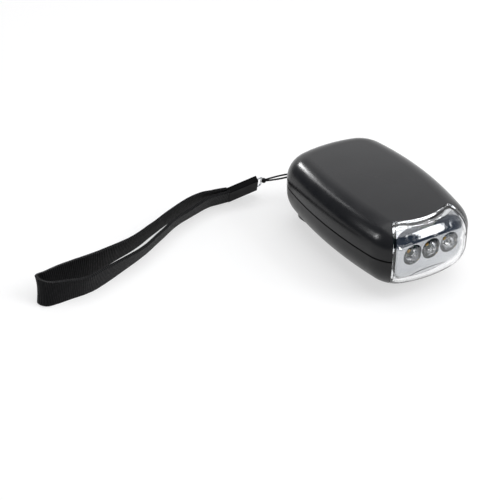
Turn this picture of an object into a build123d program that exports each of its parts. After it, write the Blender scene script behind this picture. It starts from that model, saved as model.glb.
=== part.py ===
from build123d import *
import math
import os

os.makedirs("parts", exist_ok=True)

# A pocket torch that is charged by a crank: a pebble of two shells, a clear
# window with three diodes at the front and a wrist strap at the rear.
# Millimetres. +X runs towards the window, +Z up, the table is at Z = 0 and
# the origin lies under the middle of the body.

# Sizes of the body
body_length = 85.0
body_width = 52.6
width_taper = 0.9
side_bulge = 4.0
end_bulge = 4.6
plan_corner = 15.0
underside_height = 4.0
seam_height = 20.5
crown_height = 34.5
dome_radius = 500.0
shoulder_round = 10.5
under_round = 13.5
wall = 2.0
seam_bevel = 0.35
joint_gap = 0.1
fit_gap = 0.02
running_gap = 0.05
overrun = 5.0

# Sizes of the window, its raised face and its hidden lip; insets are taken
# from the body's front end
window_corner_inset = 13.2
window_middle_inset = 9.5
window_half_width = 13.6
window_flare_share = 0.56
window_sill = 3.3
window_round = 1.5
lens_wall = 1.8
rim_border = 1.6
face_rise = 0.45
face_top_border = 4.0
face_side_border = 2.0
lip_reach = 1.4
lip_thickness = 1.0

# Sizes of the diodes, the mirror behind the window and the diode board
led_pitch = 8.7
led_rise = 0.7
led_radius = 2.5
led_flange_radius = 2.9
led_flange = 1.0
led_length = 8.6
led_tip_inset = 3.3
led_hole_gap = 0.15
leg_radius = 0.3
leg_spacing = 2.54
leg_tail = 1.2
cup_mouth_radius = 4.25
cup_floor_radius = 2.9
cup_depth = 4.4
mirror_inset = 4.9
mirror_depth = 5.0
mirror_gap = 0.3
mirror_foot_gap = 0.2
mirror_foot_width = 1.6
mirror_foot_height = 5.0
slope_setback = 4.2
slope_rise = 0.35
slope_sag = 0.8
board_thickness = 1.6
led_board_margin = 0.1
led_board_height = 12.0

# Sizes of the crank arm, its shaft, its bush and its folding knob
hub_x = 8.0
arm_end_inset = 9.3
crank_stow_angle = 194.0
hub_radius = 11.0
arm_end_radius = 6.0
arm_thickness = 3.6
arm_edge_round = 0.6
crank_shaft_radius = 2.0
square_side = 2.6
crank_screw_head_radius = 2.6
crank_screw_head = 1.3
crank_screw_radius = 0.8
crank_screw_length = 5.0
bush_wall = 1.4
bush_flange = 0.8
boss_wall = 1.6
clip_radius = 3.0
clip_thickness = 0.6
knob_length = 17.0
knob_width = 6.0
knob_thickness = 3.2
knob_clearance = 0.3
knob_tip_wall = 2.4
knob_pin_radius = 0.6
knob_pin_seat = 1.2
knob_dish_radius = 9.0
knob_dish_depth = 0.6
thumb_notch_radius = 5.0
thumb_notch_depth = 1.6

# Sizes of the gear train: teeth, module and levels
module = 0.5
drive_teeth = 48
first_pinion_teeth = 12
first_wheel_teeth = 40
second_pinion_teeth = 10
second_wheel_teeth = 36
rotor_pinion_teeth = 10
tooth_top_share = 0.8
tooth_foot_share = 1.1
tooth_tip_width_share = 0.5
tooth_foot_width_share = 1.7
mesh_gap = 0.12
gear_thickness = 2.0
level_gap = 0.5
gear_floor_gap = 2.2
gear_hub_radius = 2.1
web_hole_radius = 2.3
web_hole_count = 6
axle_radius = 1.0
axle_boss_radius = 2.2
first_mesh_angle = 150.0
second_mesh_angle = 200.0
rotor_mesh_angle = 262.0

# Sizes of the gear plate, its pillars and its screws
plate_gap = 0.6
plate_thickness = 1.5
plate_margin = 1.6
pillar_radius = 2.5
pillar_gap = 0.8
rear_pillar_angle = 180.0
right_pillar_angle = -17.0
left_pillar_angle = 96.8
plate_screw_radius = 0.9
plate_screw_head_radius = 1.7
plate_screw_head = 1.0
plate_screw_length = 5.0

# Sizes of the generator
rotor_shaft_radius = 0.75
magnet_radius = 4.5
magnet_length = 6.6
air_gap = 0.35
pole_thickness = 0.4
pole_width = 2.3
pole_length = 5.6
pole_count = 6
bobbin_wall = 0.5
coil_radius = 8.4
can_radius = 9.4
can_wall = 0.5
can_height = 8.6
rotor_bush_radius = 1.8
rotor_bush_length = 1.5

# Sizes of the main board and its posts, and of the cells
main_board_rear_x = -1.0
board_edge_gap = 1.0
board_post_radius = 1.8
board_post_gap = 2.4
board_post_angle = 39.4
cell_radius = 5.8
cell_thickness = 5.4
cell_count = 3
cell_gap = 0.45
cell_y = -4.5
sleeve_thickness = 0.2
cell_tab_thickness = 0.3
cell_tab_width = 4.0

# Sizes of the switch and its button in the side wall
switch_width = 8.0
switch_depth = 7.0
switch_height = 7.6
switch_x = 13.0
switch_setback = 3.8
plunger_side = 3.0
plunger_seat_inset = 3.9
plunger_engage = 1.5
button_length = 12.0
button_height = 4.4
button_rise = 3.1
button_proud = 0.6
button_gap = 0.2
button_flange = 1.0
button_travel = 1.2

# Sizes of the case screws and their columns
case_screw_radius = 1.1
case_screw_head_radius = 2.1
case_screw_head = 1.4
case_screw_length = 20.0
case_head_depth = 4.2
column_radius = 3.3
case_screw_places_share = [(-0.79, 0.46), (-0.79, -0.46), (0.54, 0.64), (0.54, -0.64)]

# Sizes of the strap eye at the rear
eye_post_radius = 1.0
eye_post_inset = 1.5
eye_half_width = 5.6
eye_depth = 4.2
eye_height = 6.0
eye_wall = 1.6

# Sizes of the strap: its cord, wire ring, sewn tab and webbing
cord_diameter = 0.8
ring_wire_radius = 0.45
ring_width = 9.4
ring_length = 4.6
ring_corner = 1.2
ring_seat_inset = 1.3
tab_length = 14.7
tab_width = 10.6
tab_thickness = 3.0
tab_round = 0.35
tab_place_share = (-0.6893, -0.2839)
tab_heading = 263.9
tab_pitch = 11.5
tab_roll = 123.0
floor_gap = 0.05
knot_radius = 1.2
webbing_width = 10.5
webbing_thickness = 1.3
webbing_layer_gap = 0.2
webbing_lean_heading = 151.1
cord_arc_share = 0.45

# Route of the cord from the knot to the eye post: how far along the way to
# the ring, how far aside and how high, the last two in cord diameters
cord_route_shares = [(0.93, -0.69, 0.0), (0.70, -1.63, 0.35), (0.46, 0.12, 0.7),
                     (0.195, 2.19, 0.0), (-0.0603, 2.125, 0.0)]

# Route of the webbing: place in body lengths, lean in degrees and lift in
# thicknesses, out along the front strand and home along the rear one
webbing_route_shares = [
    (-0.7142, -0.5136, 120, 0.0), (-0.7171, -0.5690, 117, 0.0), (-0.6835, -0.6733, 115, 0.0),
    (-0.6435, -0.7886, 113, 0.0), (-0.5616, -0.9185, 111, 0.0), (-0.4796, -1.0504, 110, 0.0),
    (-0.4289, -1.1710, 106, 0.0), (-0.3830, -1.2909, 99, 0.0), (-0.3489, -1.3986, 95, 0.0),
    (-0.3450, -1.4940, 86, 0.0), (-0.3550, -1.5760, 78, 0.0), (-0.3710, -1.6090, 72, 0.0),
    (-0.4070, -1.6280, 68, 0.0), (-0.4450, -1.6120, 68, 0.0), (-0.4500, -1.5797, 72, 0.0),
    (-0.4634, -1.5024, 79, 0.0), (-0.4720, -1.4106, 85, 0.0), (-0.4801, -1.3068, 90, 0.0),
    (-0.4895, -1.1949, 95, 0.0), (-0.5117, -1.0809, 100, 0.0), (-0.5702, -0.9580, 104, 0.0),
    (-0.6484, -0.8226, 108, 0.0), (-0.7083, -0.6906, 113, 0.0), (-0.7447, -0.5699, 117, 0.0),
    (-0.7408, -0.5046, 120, 0.0),
]

# Places worked out from the sizes
half_length = body_length / 2
half_width = body_width / 2
body_height = crown_height - underside_height
floor_level = underside_height + wall
dome_drop = (half_length**2 + half_width**2) / (2 * dome_radius)
under_fit = min(under_round, body_height - dome_drop - shoulder_round - wall)
first_level = floor_level + gear_floor_gap
second_level = first_level + gear_thickness + level_gap
third_level = second_level + gear_thickness + level_gap
plate_level = third_level + gear_thickness + plate_gap
plate_top = plate_level + plate_thickness
board_top = plate_top + board_thickness
case_head_seat = underside_height + case_head_depth
case_screw_places = [(x * half_length, y * half_width) for x, y in case_screw_places_share]
front_column_x, front_column_y = case_screw_places[2]
window_corner_x = half_length - window_corner_inset
window_middle_x = half_length - window_middle_inset
window_bottom = underside_height + window_sill
led_tip_x = half_length - led_tip_inset
led_height = seam_height + led_rise
mirror_front_x = half_length - mirror_inset
mirror_back_x = mirror_front_x - mirror_depth
mirror_foot_y = led_pitch + led_flange_radius + mirror_foot_gap + mirror_foot_width / 2
slope_top_x = mirror_front_x - slope_setback
slope_low_height = led_height + cup_mouth_radius + slope_rise
led_board_width = 2 * (mirror_foot_y + mirror_foot_width / 2 + led_board_margin)
main_board_half_width = front_column_y - column_radius - board_edge_gap
cell_x = front_column_x - column_radius - cell_gap - sleeve_thickness - cell_radius
plunger_seat_y = half_width - plunger_seat_inset
switch_front_y = plunger_seat_y - switch_setback
button_level = seam_height + button_rise
eye_floor = seam_height - eye_height
deg = math.pi / 180
arm_end_x = arm_end_inset - half_length
crank_reach = (arm_end_x - hub_x) / math.cos(crank_stow_angle * deg)


def compass(angle, reach):
    """A step of a given reach in the direction of an angle, seen from above."""
    return Vector(reach * math.cos(angle * deg), reach * math.sin(angle * deg), 0)


def mesh_distance(one, other):
    """Distance between the axles of two meshing gears."""
    return module * (one + other) / 2 + mesh_gap


def tip_radius(teeth):
    """The radius of a gear over its teeth."""
    return module * teeth / 2 + tooth_top_share * module


def finish(builder, name):
    """Labels a finished piece and writes its file."""
    builder.part.label = name
    export_step(builder.part, f"parts/{name}.step")


def rod(place, radius, low, high):
    """An upright round bar from one height to another."""
    with BuildPart() as bar:
        with BuildSketch(Plane((place.X, place.Y, low))):
            Circle(radius)
        extrude(amount=high - low)
    return bar.part


hub_place = Vector(hub_x, 0, 0)
first_place = hub_place + compass(first_mesh_angle, mesh_distance(drive_teeth, first_pinion_teeth))
second_place = first_place + compass(
    second_mesh_angle, mesh_distance(first_wheel_teeth, second_pinion_teeth)
)
rotor_place = second_place + compass(
    rotor_mesh_angle, mesh_distance(second_wheel_teeth, rotor_pinion_teeth)
)
pillar_reach = pillar_radius + pillar_gap
pillar_places = [
    second_place + compass(rear_pillar_angle, tip_radius(second_wheel_teeth) + pillar_reach),
    rotor_place + compass(right_pillar_angle, can_radius + pillar_reach),
    hub_place + compass(left_pillar_angle, tip_radius(drive_teeth) + pillar_reach),
]
post_reach = tip_radius(drive_teeth) + board_post_radius + board_post_gap
board_post_places = [hub_place + compass(side * board_post_angle, post_reach) for side in (1, -1)]


def outline_arcs():
    """The four arcs of the body's outline, seen from above."""
    corner_x = half_length - end_bulge
    rear_y = half_width - side_bulge + width_taper
    front_y = half_width - side_bulge - width_taper
    return [
        ThreePointArc((-corner_x, rear_y), (0, half_width), (corner_x, front_y)),
        ThreePointArc((corner_x, front_y), (half_length, 0), (corner_x, -front_y)),
        ThreePointArc((corner_x, -front_y), (0, -half_width), (-corner_x, -rear_y)),
        ThreePointArc((-corner_x, -rear_y), (-half_length, 0), (-corner_x, rear_y)),
    ]


body_arcs = outline_arcs()


def pebble(inset):
    """The rounded body, drawn in by the inset on every side."""
    with BuildPart() as body:
        with BuildSketch(Plane.XY.offset(underside_height + inset)) as outline:
            for index, arc in enumerate(body_arcs):
                centre = arc.arc_center
                middle = arc @ 0.5
                turn = math.atan2(centre.Y - middle.Y, centre.X - middle.X) / deg
                with Locations(Location((centre.X, centre.Y, 0), (0, 0, turn))):
                    Circle(arc.radius - inset, mode=Mode.INTERSECT if index else Mode.ADD)
            fillet(outline.vertices(), plan_corner - inset)
        extrude(amount=body_height + overrun)
        with Locations((0, 0, crown_height - dome_radius)):
            Sphere(dome_radius - inset, rotation=(0, 90, 0), mode=Mode.INTERSECT)
        high = crown_height - body_height / 4
        rims = body.edges().filter_by(lambda edge: edge.center().Z > high)
        fillet(rims, shoulder_round - inset)
        feet = body.edges().group_by(Axis.Z)[0]
        fillet(feet, under_fit - inset)
    return body.part


def window(border_top, border_side, bottom):
    """The prism that the window cuts out of the body, drawn in by its borders."""
    corner_x = window_corner_x + border_top
    corner_y = window_half_width + window_flare_share * border_top - border_side
    far_x = half_length + overrun
    far_y = corner_y + window_flare_share * (far_x - corner_x)
    with BuildPart() as prism:
        with BuildSketch(Plane.XY.offset(bottom)) as outline:
            with BuildLine():
                ThreePointArc((corner_x, corner_y), (window_middle_x + border_top, 0), (corner_x, -corner_y))
                Polyline((corner_x, -corner_y), (far_x, -far_y), (far_x, far_y), (corner_x, corner_y))
            make_face()
            fillet(outline.vertices().group_by(Axis.X)[0], window_round)
        extrude(amount=crown_height + overrun - bottom)
    return prism.part


def button_prism(grow, low_y):
    """The button's rounded outline on the side wall, grown by a margin."""
    with BuildPart() as prism:
        with BuildSketch(Plane(origin=(switch_x, low_y, button_level), x_dir=(1, 0, 0), z_dir=(0, 1, 0))):
            SlotOverall(button_length + 2 * grow, button_height + 2 * grow)
        extrude(amount=half_width + overrun - low_y)
    return prism.part


outer_body = pebble(0)
inner_body = pebble(wall)
behind_wall = pebble(wall + joint_gap)
behind_lip = pebble(wall + joint_gap + lip_thickness)
window_cut = window(0, 0, window_bottom)

# Upper shell: the domed cover with its screw columns and the button's hole
with BuildPart() as top_shell:
    add(outer_body)
    split(bisect_by=Plane.XY.offset(seam_height), keep=Keep.TOP)
    chamfer(top_shell.edges().group_by(Axis.Z)[0], seam_bevel)
    add(inner_body, mode=Mode.SUBTRACT)
    with BuildSketch(Plane.XY.offset(seam_height)):
        with Locations(*case_screw_places):
            Circle(column_radius)
    extrude(until=Until.NEXT)
    add(window_cut, mode=Mode.SUBTRACT)
    with BuildSketch(Plane.XY.offset(seam_height)):
        with Locations(*case_screw_places):
            Circle(case_screw_radius)
    extrude(amount=case_head_seat + case_screw_length + joint_gap - seam_height, mode=Mode.SUBTRACT)
    add(button_prism(button_gap, 0), mode=Mode.SUBTRACT)
finish(top_shell, "top_shell")

# Lower shell: the tray with the crank's boss, the axle bosses, the pillars of
# the gear plate, the board posts, the screw columns and the strap eye
eye_post = Vector(eye_post_inset - half_length, 0, 0)
bush_radius = crank_shaft_radius + running_gap + bush_wall
boss_top = first_level - level_gap - bush_flange
axle_bosses = [
    (first_place, first_level - level_gap),
    (second_place, second_level - level_gap),
    (rotor_place, third_level - level_gap),
]
rotor_foot = third_level - level_gap - gear_thickness
with BuildPart() as bottom_shell:
    add(outer_body)
    split(bisect_by=Plane.XY.offset(seam_height), keep=Keep.BOTTOM)
    chamfer(bottom_shell.edges().group_by(Axis.Z)[-1], seam_bevel)
    add(inner_body, mode=Mode.SUBTRACT)
    with BuildSketch(Plane.XY.offset(seam_height)):
        with Locations(*case_screw_places):
            Circle(column_radius)
    extrude(until=Until.NEXT, dir=(0, 0, -1))
    add(rod(hub_place, bush_radius + boss_wall, floor_level, boss_top))
    for place, height in axle_bosses:
        add(rod(place, axle_boss_radius, floor_level, height))
    with BuildSketch(Plane.XY.offset(plate_level)):
        with Locations(*pillar_places):
            Circle(pillar_radius)
    extrude(until=Until.NEXT, dir=(0, 0, -1))
    with BuildSketch(Plane.XY.offset(plate_top)):
        with Locations(*board_post_places):
            Circle(board_post_radius)
    extrude(until=Until.NEXT, dir=(0, 0, -1))
    with BuildSketch(Plane.XY.offset(eye_floor - eye_wall)):
        with Locations((-half_length, 0)):
            Rectangle(2 * (eye_depth + eye_wall), 2 * (eye_half_width + eye_wall))
    extrude(amount=seam_height - eye_floor + eye_wall)
    add(outer_body, mode=Mode.INTERSECT)
    with BuildSketch(Plane.XY.offset(eye_floor)):
        with Locations((-half_length, 0)):
            Rectangle(2 * eye_depth, 2 * eye_half_width)
    extrude(amount=seam_height, mode=Mode.SUBTRACT)
    add(rod(eye_post, eye_post_radius, eye_floor, seam_height))
    add(window_cut, mode=Mode.SUBTRACT)
    add(rod(hub_place, bush_radius + fit_gap, 0, seam_height), mode=Mode.SUBTRACT)
    for place in (first_place, second_place):
        add(rod(place, axle_radius + fit_gap, floor_level, seam_height), mode=Mode.SUBTRACT)
    add(rod(rotor_place, rotor_shaft_radius + running_gap, rotor_foot, seam_height), mode=Mode.SUBTRACT)
    with BuildSketch(Plane.XY):
        with Locations(*case_screw_places):
            Circle(case_screw_head_radius + fit_gap)
    extrude(amount=case_head_seat, mode=Mode.SUBTRACT)
    with BuildSketch(Plane.XY):
        with Locations(*case_screw_places):
            Circle(case_screw_radius + joint_gap)
    extrude(amount=seam_height + overrun, mode=Mode.SUBTRACT)
    with BuildSketch(Plane.XY.offset(plate_level)):
        with Locations(*pillar_places):
            Circle(plate_screw_radius)
    extrude(amount=-plate_screw_length, mode=Mode.SUBTRACT)
finish(bottom_shell, "bottom_shell")

# Window: a clear cap that follows the body, with a raised front face, and a
# rim and lip that sit behind the edges of the shells
hollow = pebble(lens_wall).intersect(window(rim_border, rim_border, window_bottom + rim_border))
with BuildPart() as lens_lip:
    add(behind_wall)
    add(window(-lip_reach, -lip_reach, window_bottom - lip_reach), mode=Mode.INTERSECT)
with BuildPart() as lens_face:
    add(pebble(-face_rise))
    add(window(face_top_border, face_side_border, window_bottom + face_side_border), mode=Mode.INTERSECT)
with BuildPart() as lens:
    add(outer_body)
    add(window(joint_gap, joint_gap, window_bottom + joint_gap), mode=Mode.INTERSECT)
    add(lens_lip.part)
    add(lens_face.part)
    add(hollow, mode=Mode.SUBTRACT)
    add(behind_lip, mode=Mode.SUBTRACT)
finish(lens, "lens")

# Mirror: the bright tray behind the window, with a cup round each diode
led_places = [(0, side * led_pitch, led_height) for side in (-1, 0, 1)]
cup_back_x = mirror_front_x - cup_depth
led_base_x = led_tip_x - led_length
led_board_front_x = led_base_x - fit_gap
led_board_back_x = led_board_front_x - board_thickness
with BuildPart() as cup:
    with BuildSketch(Plane.XZ):
        with BuildLine():
            ThreePointArc((cup_back_x, cup_floor_radius),
                          (mirror_front_x - cup_depth / 2, (cup_mouth_radius + cup_floor_radius) / 2
                           + (cup_mouth_radius - cup_floor_radius) / 4),
                          (mirror_front_x, cup_mouth_radius))
            Polyline((mirror_front_x, cup_mouth_radius), (mirror_front_x, 0),
                     (cup_back_x, 0), (cup_back_x, cup_floor_radius))
        make_face()
    revolve(axis=Axis.X)
    with BuildSketch(Plane.YZ.offset(mirror_back_x - overrun)):
        Circle(led_radius + led_hole_gap)
    extrude(amount=cup_back_x - mirror_back_x + overrun)
with BuildPart() as mirror:
    add(pebble(lens_wall + mirror_gap))
    add(window(rim_border + mirror_gap, rim_border + mirror_gap, window_bottom + rim_border + mirror_gap),
        mode=Mode.INTERSECT)
    split(bisect_by=Plane.YZ.offset(mirror_front_x), keep=Keep.BOTTOM)
    split(bisect_by=Plane.YZ.offset(mirror_back_x), keep=Keep.TOP)
    with BuildSketch(Plane.XZ):
        with BuildLine():
            ThreePointArc((mirror_front_x, slope_low_height),
                          ((mirror_front_x + slope_top_x) / 2 - slope_sag,
                           (slope_low_height + crown_height) / 2 - slope_sag),
                          (slope_top_x, crown_height))
            Polyline((slope_top_x, crown_height), (half_length, crown_height),
                     (half_length, slope_low_height), (mirror_front_x, slope_low_height))
        make_face()
    extrude(amount=half_width, both=True, mode=Mode.SUBTRACT)
    with Locations(*led_places):
        add(cup.part, mode=Mode.SUBTRACT)
    with BuildSketch(Plane.YZ.offset(led_board_front_x)):
        with Locations((mirror_foot_y, led_height), (-mirror_foot_y, led_height)):
            Rectangle(mirror_foot_width, mirror_foot_height)
    extrude(amount=mirror_back_x - led_board_front_x)
finish(mirror, "mirror")

# Diodes: three clear domes with their legs
dome_x = led_tip_x - led_radius
with BuildPart() as led:
    with BuildSketch(Plane.XZ):
        with BuildLine():
            Polyline((led_base_x, 0), (led_base_x, led_flange_radius),
                     (led_base_x + led_flange, led_flange_radius),
                     (led_base_x + led_flange, led_radius), (dome_x, led_radius))
            RadiusArc((dome_x, led_radius), (led_tip_x, 0), led_radius)
            Line((led_tip_x, 0), (led_base_x, 0))
        make_face()
    revolve(axis=Axis.X)
for place, side in zip(led_places, ("right", "centre", "left")):
    with BuildPart() as one_led:
        with Locations(place):
            add(led.part)
    finish(one_led, f"led_{side}")
leg_places = [(y + side * leg_spacing / 2, led_height) for _, y, _ in led_places for side in (-1, 1)]
with BuildPart() as led_legs:
    with BuildSketch(Plane.YZ.offset(led_board_back_x - leg_tail)):
        with Locations(*leg_places):
            Circle(leg_radius)
    extrude(amount=led_base_x - led_board_back_x + leg_tail)
finish(led_legs, "led_legs")
with BuildPart() as led_board:
    with BuildSketch(Plane.YZ.offset(led_board_back_x)) as board_outline:
        with Locations((0, led_height)):
            Rectangle(led_board_width, led_board_height)
        fillet(board_outline.vertices(), board_thickness)
        with Locations(*leg_places):
            Circle(leg_radius + fit_gap, mode=Mode.SUBTRACT)
    extrude(amount=board_thickness)
finish(led_board, "led_board")


def gear(teeth, phase):
    """The outline of a gear, with one tooth pointing at the phase angle."""
    pitch_radius = module * teeth / 2
    foot = pitch_radius - tooth_foot_share * module
    tip = tip_radius(teeth)
    foot_half = tooth_foot_width_share * module / 2
    tip_half = tooth_tip_width_share * module / 2
    sunk = foot - module / 2
    with BuildSketch() as outline:
        Circle(foot)
        with Locations(*[Location((0, 0, 0), (0, 0, phase + 360 * i / teeth)) for i in range(teeth)]):
            Polygon((sunk, -foot_half), (foot, -foot_half), (tip, -tip_half),
                    (tip, tip_half), (foot, foot_half), (sunk, foot_half), align=None)
    return outline.sketch


def gap_phase(angle, teeth):
    """The phase that turns a gap between two teeth back towards a mesh."""
    return angle + 180 + 180 / teeth


def place_outline(outline, place, level):
    """A gear's outline moved to its axle and its level."""
    return outline.moved(Location((place.X, place.Y, level)))


# Gear train: the crank's wheel, two double gears and the rotor's pinion
with BuildPart() as drive_gear:
    extrude(place_outline(gear(drive_teeth, first_mesh_angle), hub_place, first_level), amount=gear_thickness)
    with BuildSketch(Plane.XY.offset(first_level)):
        with Locations(hub_place):
            with PolarLocations(module * drive_teeth / 4 + square_side / 2, web_hole_count):
                Circle(web_hole_radius)
        with Locations(Location((hub_x, 0, 0), (0, 0, crank_stow_angle))):
            Rectangle(square_side + 2 * fit_gap, square_side + 2 * fit_gap)
    extrude(amount=gear_thickness, mode=Mode.SUBTRACT)
finish(drive_gear, "drive_gear")

double_gears = [
    ("first_gear", first_place, first_level, first_pinion_teeth, first_mesh_angle,
     first_wheel_teeth, second_mesh_angle),
    ("second_gear", second_place, second_level, second_pinion_teeth, second_mesh_angle,
     second_wheel_teeth, rotor_mesh_angle),
]
for name, place, level, pinion_teeth, angle_in, wheel_teeth, angle_out in double_gears:
    wheel_level = level + gear_thickness + level_gap
    with BuildPart() as double_gear:
        extrude(place_outline(gear(pinion_teeth, gap_phase(angle_in, pinion_teeth)), place, level),
                amount=gear_thickness)
        add(rod(place, gear_hub_radius, level + gear_thickness / 2, wheel_level + gear_thickness / 2))
        extrude(place_outline(gear(wheel_teeth, angle_out), place, wheel_level), amount=gear_thickness)
        add(rod(place, axle_radius + running_gap, 0, crown_height), mode=Mode.SUBTRACT)
    finish(double_gear, name)

with BuildPart() as rotor_pinion:
    extrude(place_outline(gear(rotor_pinion_teeth, gap_phase(rotor_mesh_angle, rotor_pinion_teeth)),
                          rotor_place, third_level), amount=gear_thickness)
    add(rod(rotor_place, rotor_shaft_radius + fit_gap, 0, crown_height), mode=Mode.SUBTRACT)
finish(rotor_pinion, "rotor_pinion")

for name, place in (("first_axle", first_place), ("second_axle", second_place)):
    with BuildPart() as axle:
        add(rod(place, axle_radius, floor_level, plate_top))
    finish(axle, name)

# Gear plate: it closes the gear train and carries the generator
with BuildPart() as gear_plate:
    with BuildSketch(Plane.XY.offset(plate_level)) as plate_outline:
        with Locations(*pillar_places):
            Circle(pillar_radius + plate_margin)
        with Locations(rotor_place):
            Circle(can_radius)
        make_hull()
        with Locations(*pillar_places):
            Circle(plate_screw_radius + joint_gap, mode=Mode.SUBTRACT)
        with Locations(first_place, second_place):
            Circle(axle_radius + fit_gap, mode=Mode.SUBTRACT)
        with Locations(rotor_place):
            Circle(rotor_bush_radius + fit_gap, mode=Mode.SUBTRACT)
    extrude(amount=plate_thickness)
finish(gear_plate, "gear_plate")
with BuildPart() as plate_screws:
    with BuildSketch(Plane.XY.offset(plate_top)):
        with Locations(*pillar_places):
            Circle(plate_screw_head_radius)
    extrude(amount=plate_screw_head)
    with BuildSketch(Plane.XY.offset(plate_top)):
        with Locations(*pillar_places):
            Circle(plate_screw_radius - fit_gap)
    extrude(amount=-plate_screw_length)
finish(plate_screws, "plate_screws")

# Generator: a magnet on the rotor shaft, claw poles round it and one coil
can_top = plate_top + can_height
pole_radius = magnet_radius + air_gap
bobbin_radius = magnet_radius + air_gap + pole_thickness + joint_gap
bobbin_low = plate_top + can_wall + fit_gap
bobbin_high = can_top - can_wall - fit_gap
magnet_low = plate_top + (can_height - magnet_length) / 2


def claws(level, start_angle):
    """The outlines of one set of poles round the magnet."""
    with BuildSketch(Plane.XY.offset(level)) as ring:
        with Locations(rotor_place):
            Circle(pole_radius + pole_thickness)
            Circle(pole_radius, mode=Mode.SUBTRACT)
    with BuildSketch(Plane.XY.offset(level)) as outline:
        with Locations(rotor_place):
            with PolarLocations(pole_radius, pole_count, start_angle=start_angle):
                Rectangle(coil_radius - pole_radius, pole_width)
        add(ring.sketch, mode=Mode.INTERSECT)
    return outline.sketch


with BuildPart() as rotor_shaft:
    add(rod(rotor_place, rotor_shaft_radius, rotor_foot + fit_gap, can_top + rotor_bush_length))
finish(rotor_shaft, "rotor_shaft")
with BuildPart() as rotor_magnet:
    add(rod(rotor_place, magnet_radius, magnet_low, magnet_low + magnet_length))
    add(rod(rotor_place, rotor_shaft_radius + fit_gap, 0, crown_height), mode=Mode.SUBTRACT)
    chamfer(rotor_magnet.edges().filter_by(GeomType.CIRCLE).group_by(SortBy.RADIUS)[-1], pole_thickness)
finish(rotor_magnet, "rotor_magnet")
with BuildPart() as generator_can:
    add(rod(rotor_place, can_radius, plate_top, can_top - can_wall))
    add(rod(rotor_place, can_radius - can_wall, plate_top + can_wall, can_top), mode=Mode.SUBTRACT)
    extrude(claws(plate_top, 0), amount=pole_length)
    add(rod(rotor_place, magnet_radius - air_gap, 0, plate_top + can_wall), mode=Mode.SUBTRACT)
finish(generator_can, "generator_can")
with BuildPart() as generator_cap:
    add(rod(rotor_place, can_radius, can_top - can_wall, can_top))
    extrude(claws(can_top - pole_length, 180 / pole_count), amount=pole_length)
    add(rod(rotor_place, rotor_bush_radius + fit_gap, 0, crown_height), mode=Mode.SUBTRACT)
finish(generator_cap, "generator_cap")
with BuildPart() as coil_bobbin:
    add(rod(rotor_place, coil_radius, bobbin_low, bobbin_high))
    add(rod(rotor_place, coil_radius, bobbin_low + bobbin_wall, bobbin_high - bobbin_wall),
        mode=Mode.SUBTRACT)
    add(rod(rotor_place, bobbin_radius + bobbin_wall, bobbin_low, bobbin_high))
    add(rod(rotor_place, bobbin_radius, 0, crown_height), mode=Mode.SUBTRACT)
finish(coil_bobbin, "coil_bobbin")
with BuildPart() as coil_winding:
    add(rod(rotor_place, coil_radius - joint_gap, bobbin_low + bobbin_wall + fit_gap,
            bobbin_high - bobbin_wall - fit_gap))
    add(rod(rotor_place, bobbin_radius + bobbin_wall + fit_gap, 0, crown_height), mode=Mode.SUBTRACT)
finish(coil_winding, "coil_winding")
for name, low in (("rotor_lower_bush", plate_level), ("rotor_upper_bush", can_top - can_wall)):
    with BuildPart() as rotor_bush:
        add(rod(rotor_place, rotor_bush_radius, low, low + rotor_bush_length))
        add(rod(rotor_place, rotor_shaft_radius + running_gap, 0, crown_height), mode=Mode.SUBTRACT)
    finish(rotor_bush, name)

# Main board, the sleeve of cells on it and the push switch
with BuildPart() as main_board:
    with BuildSketch(Plane.XY.offset(plate_top)) as main_outline:
        with Locations(((main_board_rear_x + led_board_back_x) / 2, 0)):
            Rectangle(led_board_back_x - main_board_rear_x, 2 * main_board_half_width)
        fillet(main_outline.vertices().group_by(Axis.X)[0], board_thickness)
        with Locations((switch_x, switch_front_y / 2)):
            Rectangle(switch_width, switch_front_y)
    extrude(amount=board_thickness)
finish(main_board, "main_board")
cell_height = board_top + sleeve_thickness + cell_radius + fit_gap
stack_length = cell_count * (cell_thickness + fit_gap)
stack_y = cell_y - stack_length / 2


def along_y(x, low_y, height):
    """A plane that faces along Y at one end of the stack of cells."""
    return Plane(origin=(x, low_y, height), x_dir=(1, 0, 0), z_dir=(0, 1, 0))


with BuildPart() as battery_cells:
    for index in range(cell_count):
        with BuildSketch(along_y(cell_x, stack_y + index * (cell_thickness + fit_gap), cell_height)):
            Circle(cell_radius)
        extrude(amount=cell_thickness)
finish(battery_cells, "battery_cells")
with BuildPart() as battery_sleeve:
    with BuildSketch(along_y(cell_x, stack_y, cell_height)):
        Circle(cell_radius + sleeve_thickness)
        Circle(cell_radius + fit_gap, mode=Mode.SUBTRACT)
    extrude(amount=stack_length)
finish(battery_sleeve, "battery_sleeve")
with BuildPart() as battery_tabs:
    for low_y in (stack_y - fit_gap - cell_tab_thickness, stack_y + stack_length):
        with BuildSketch(Plane(origin=(cell_x, low_y, board_top), x_dir=(1, 0, 0), z_dir=(0, 1, 0))):
            with Locations((0, (board_top - cell_height) / 2)):
                Rectangle(cell_tab_width, cell_height - board_top)
        extrude(amount=cell_tab_thickness)
finish(battery_tabs, "battery_tabs")

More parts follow.
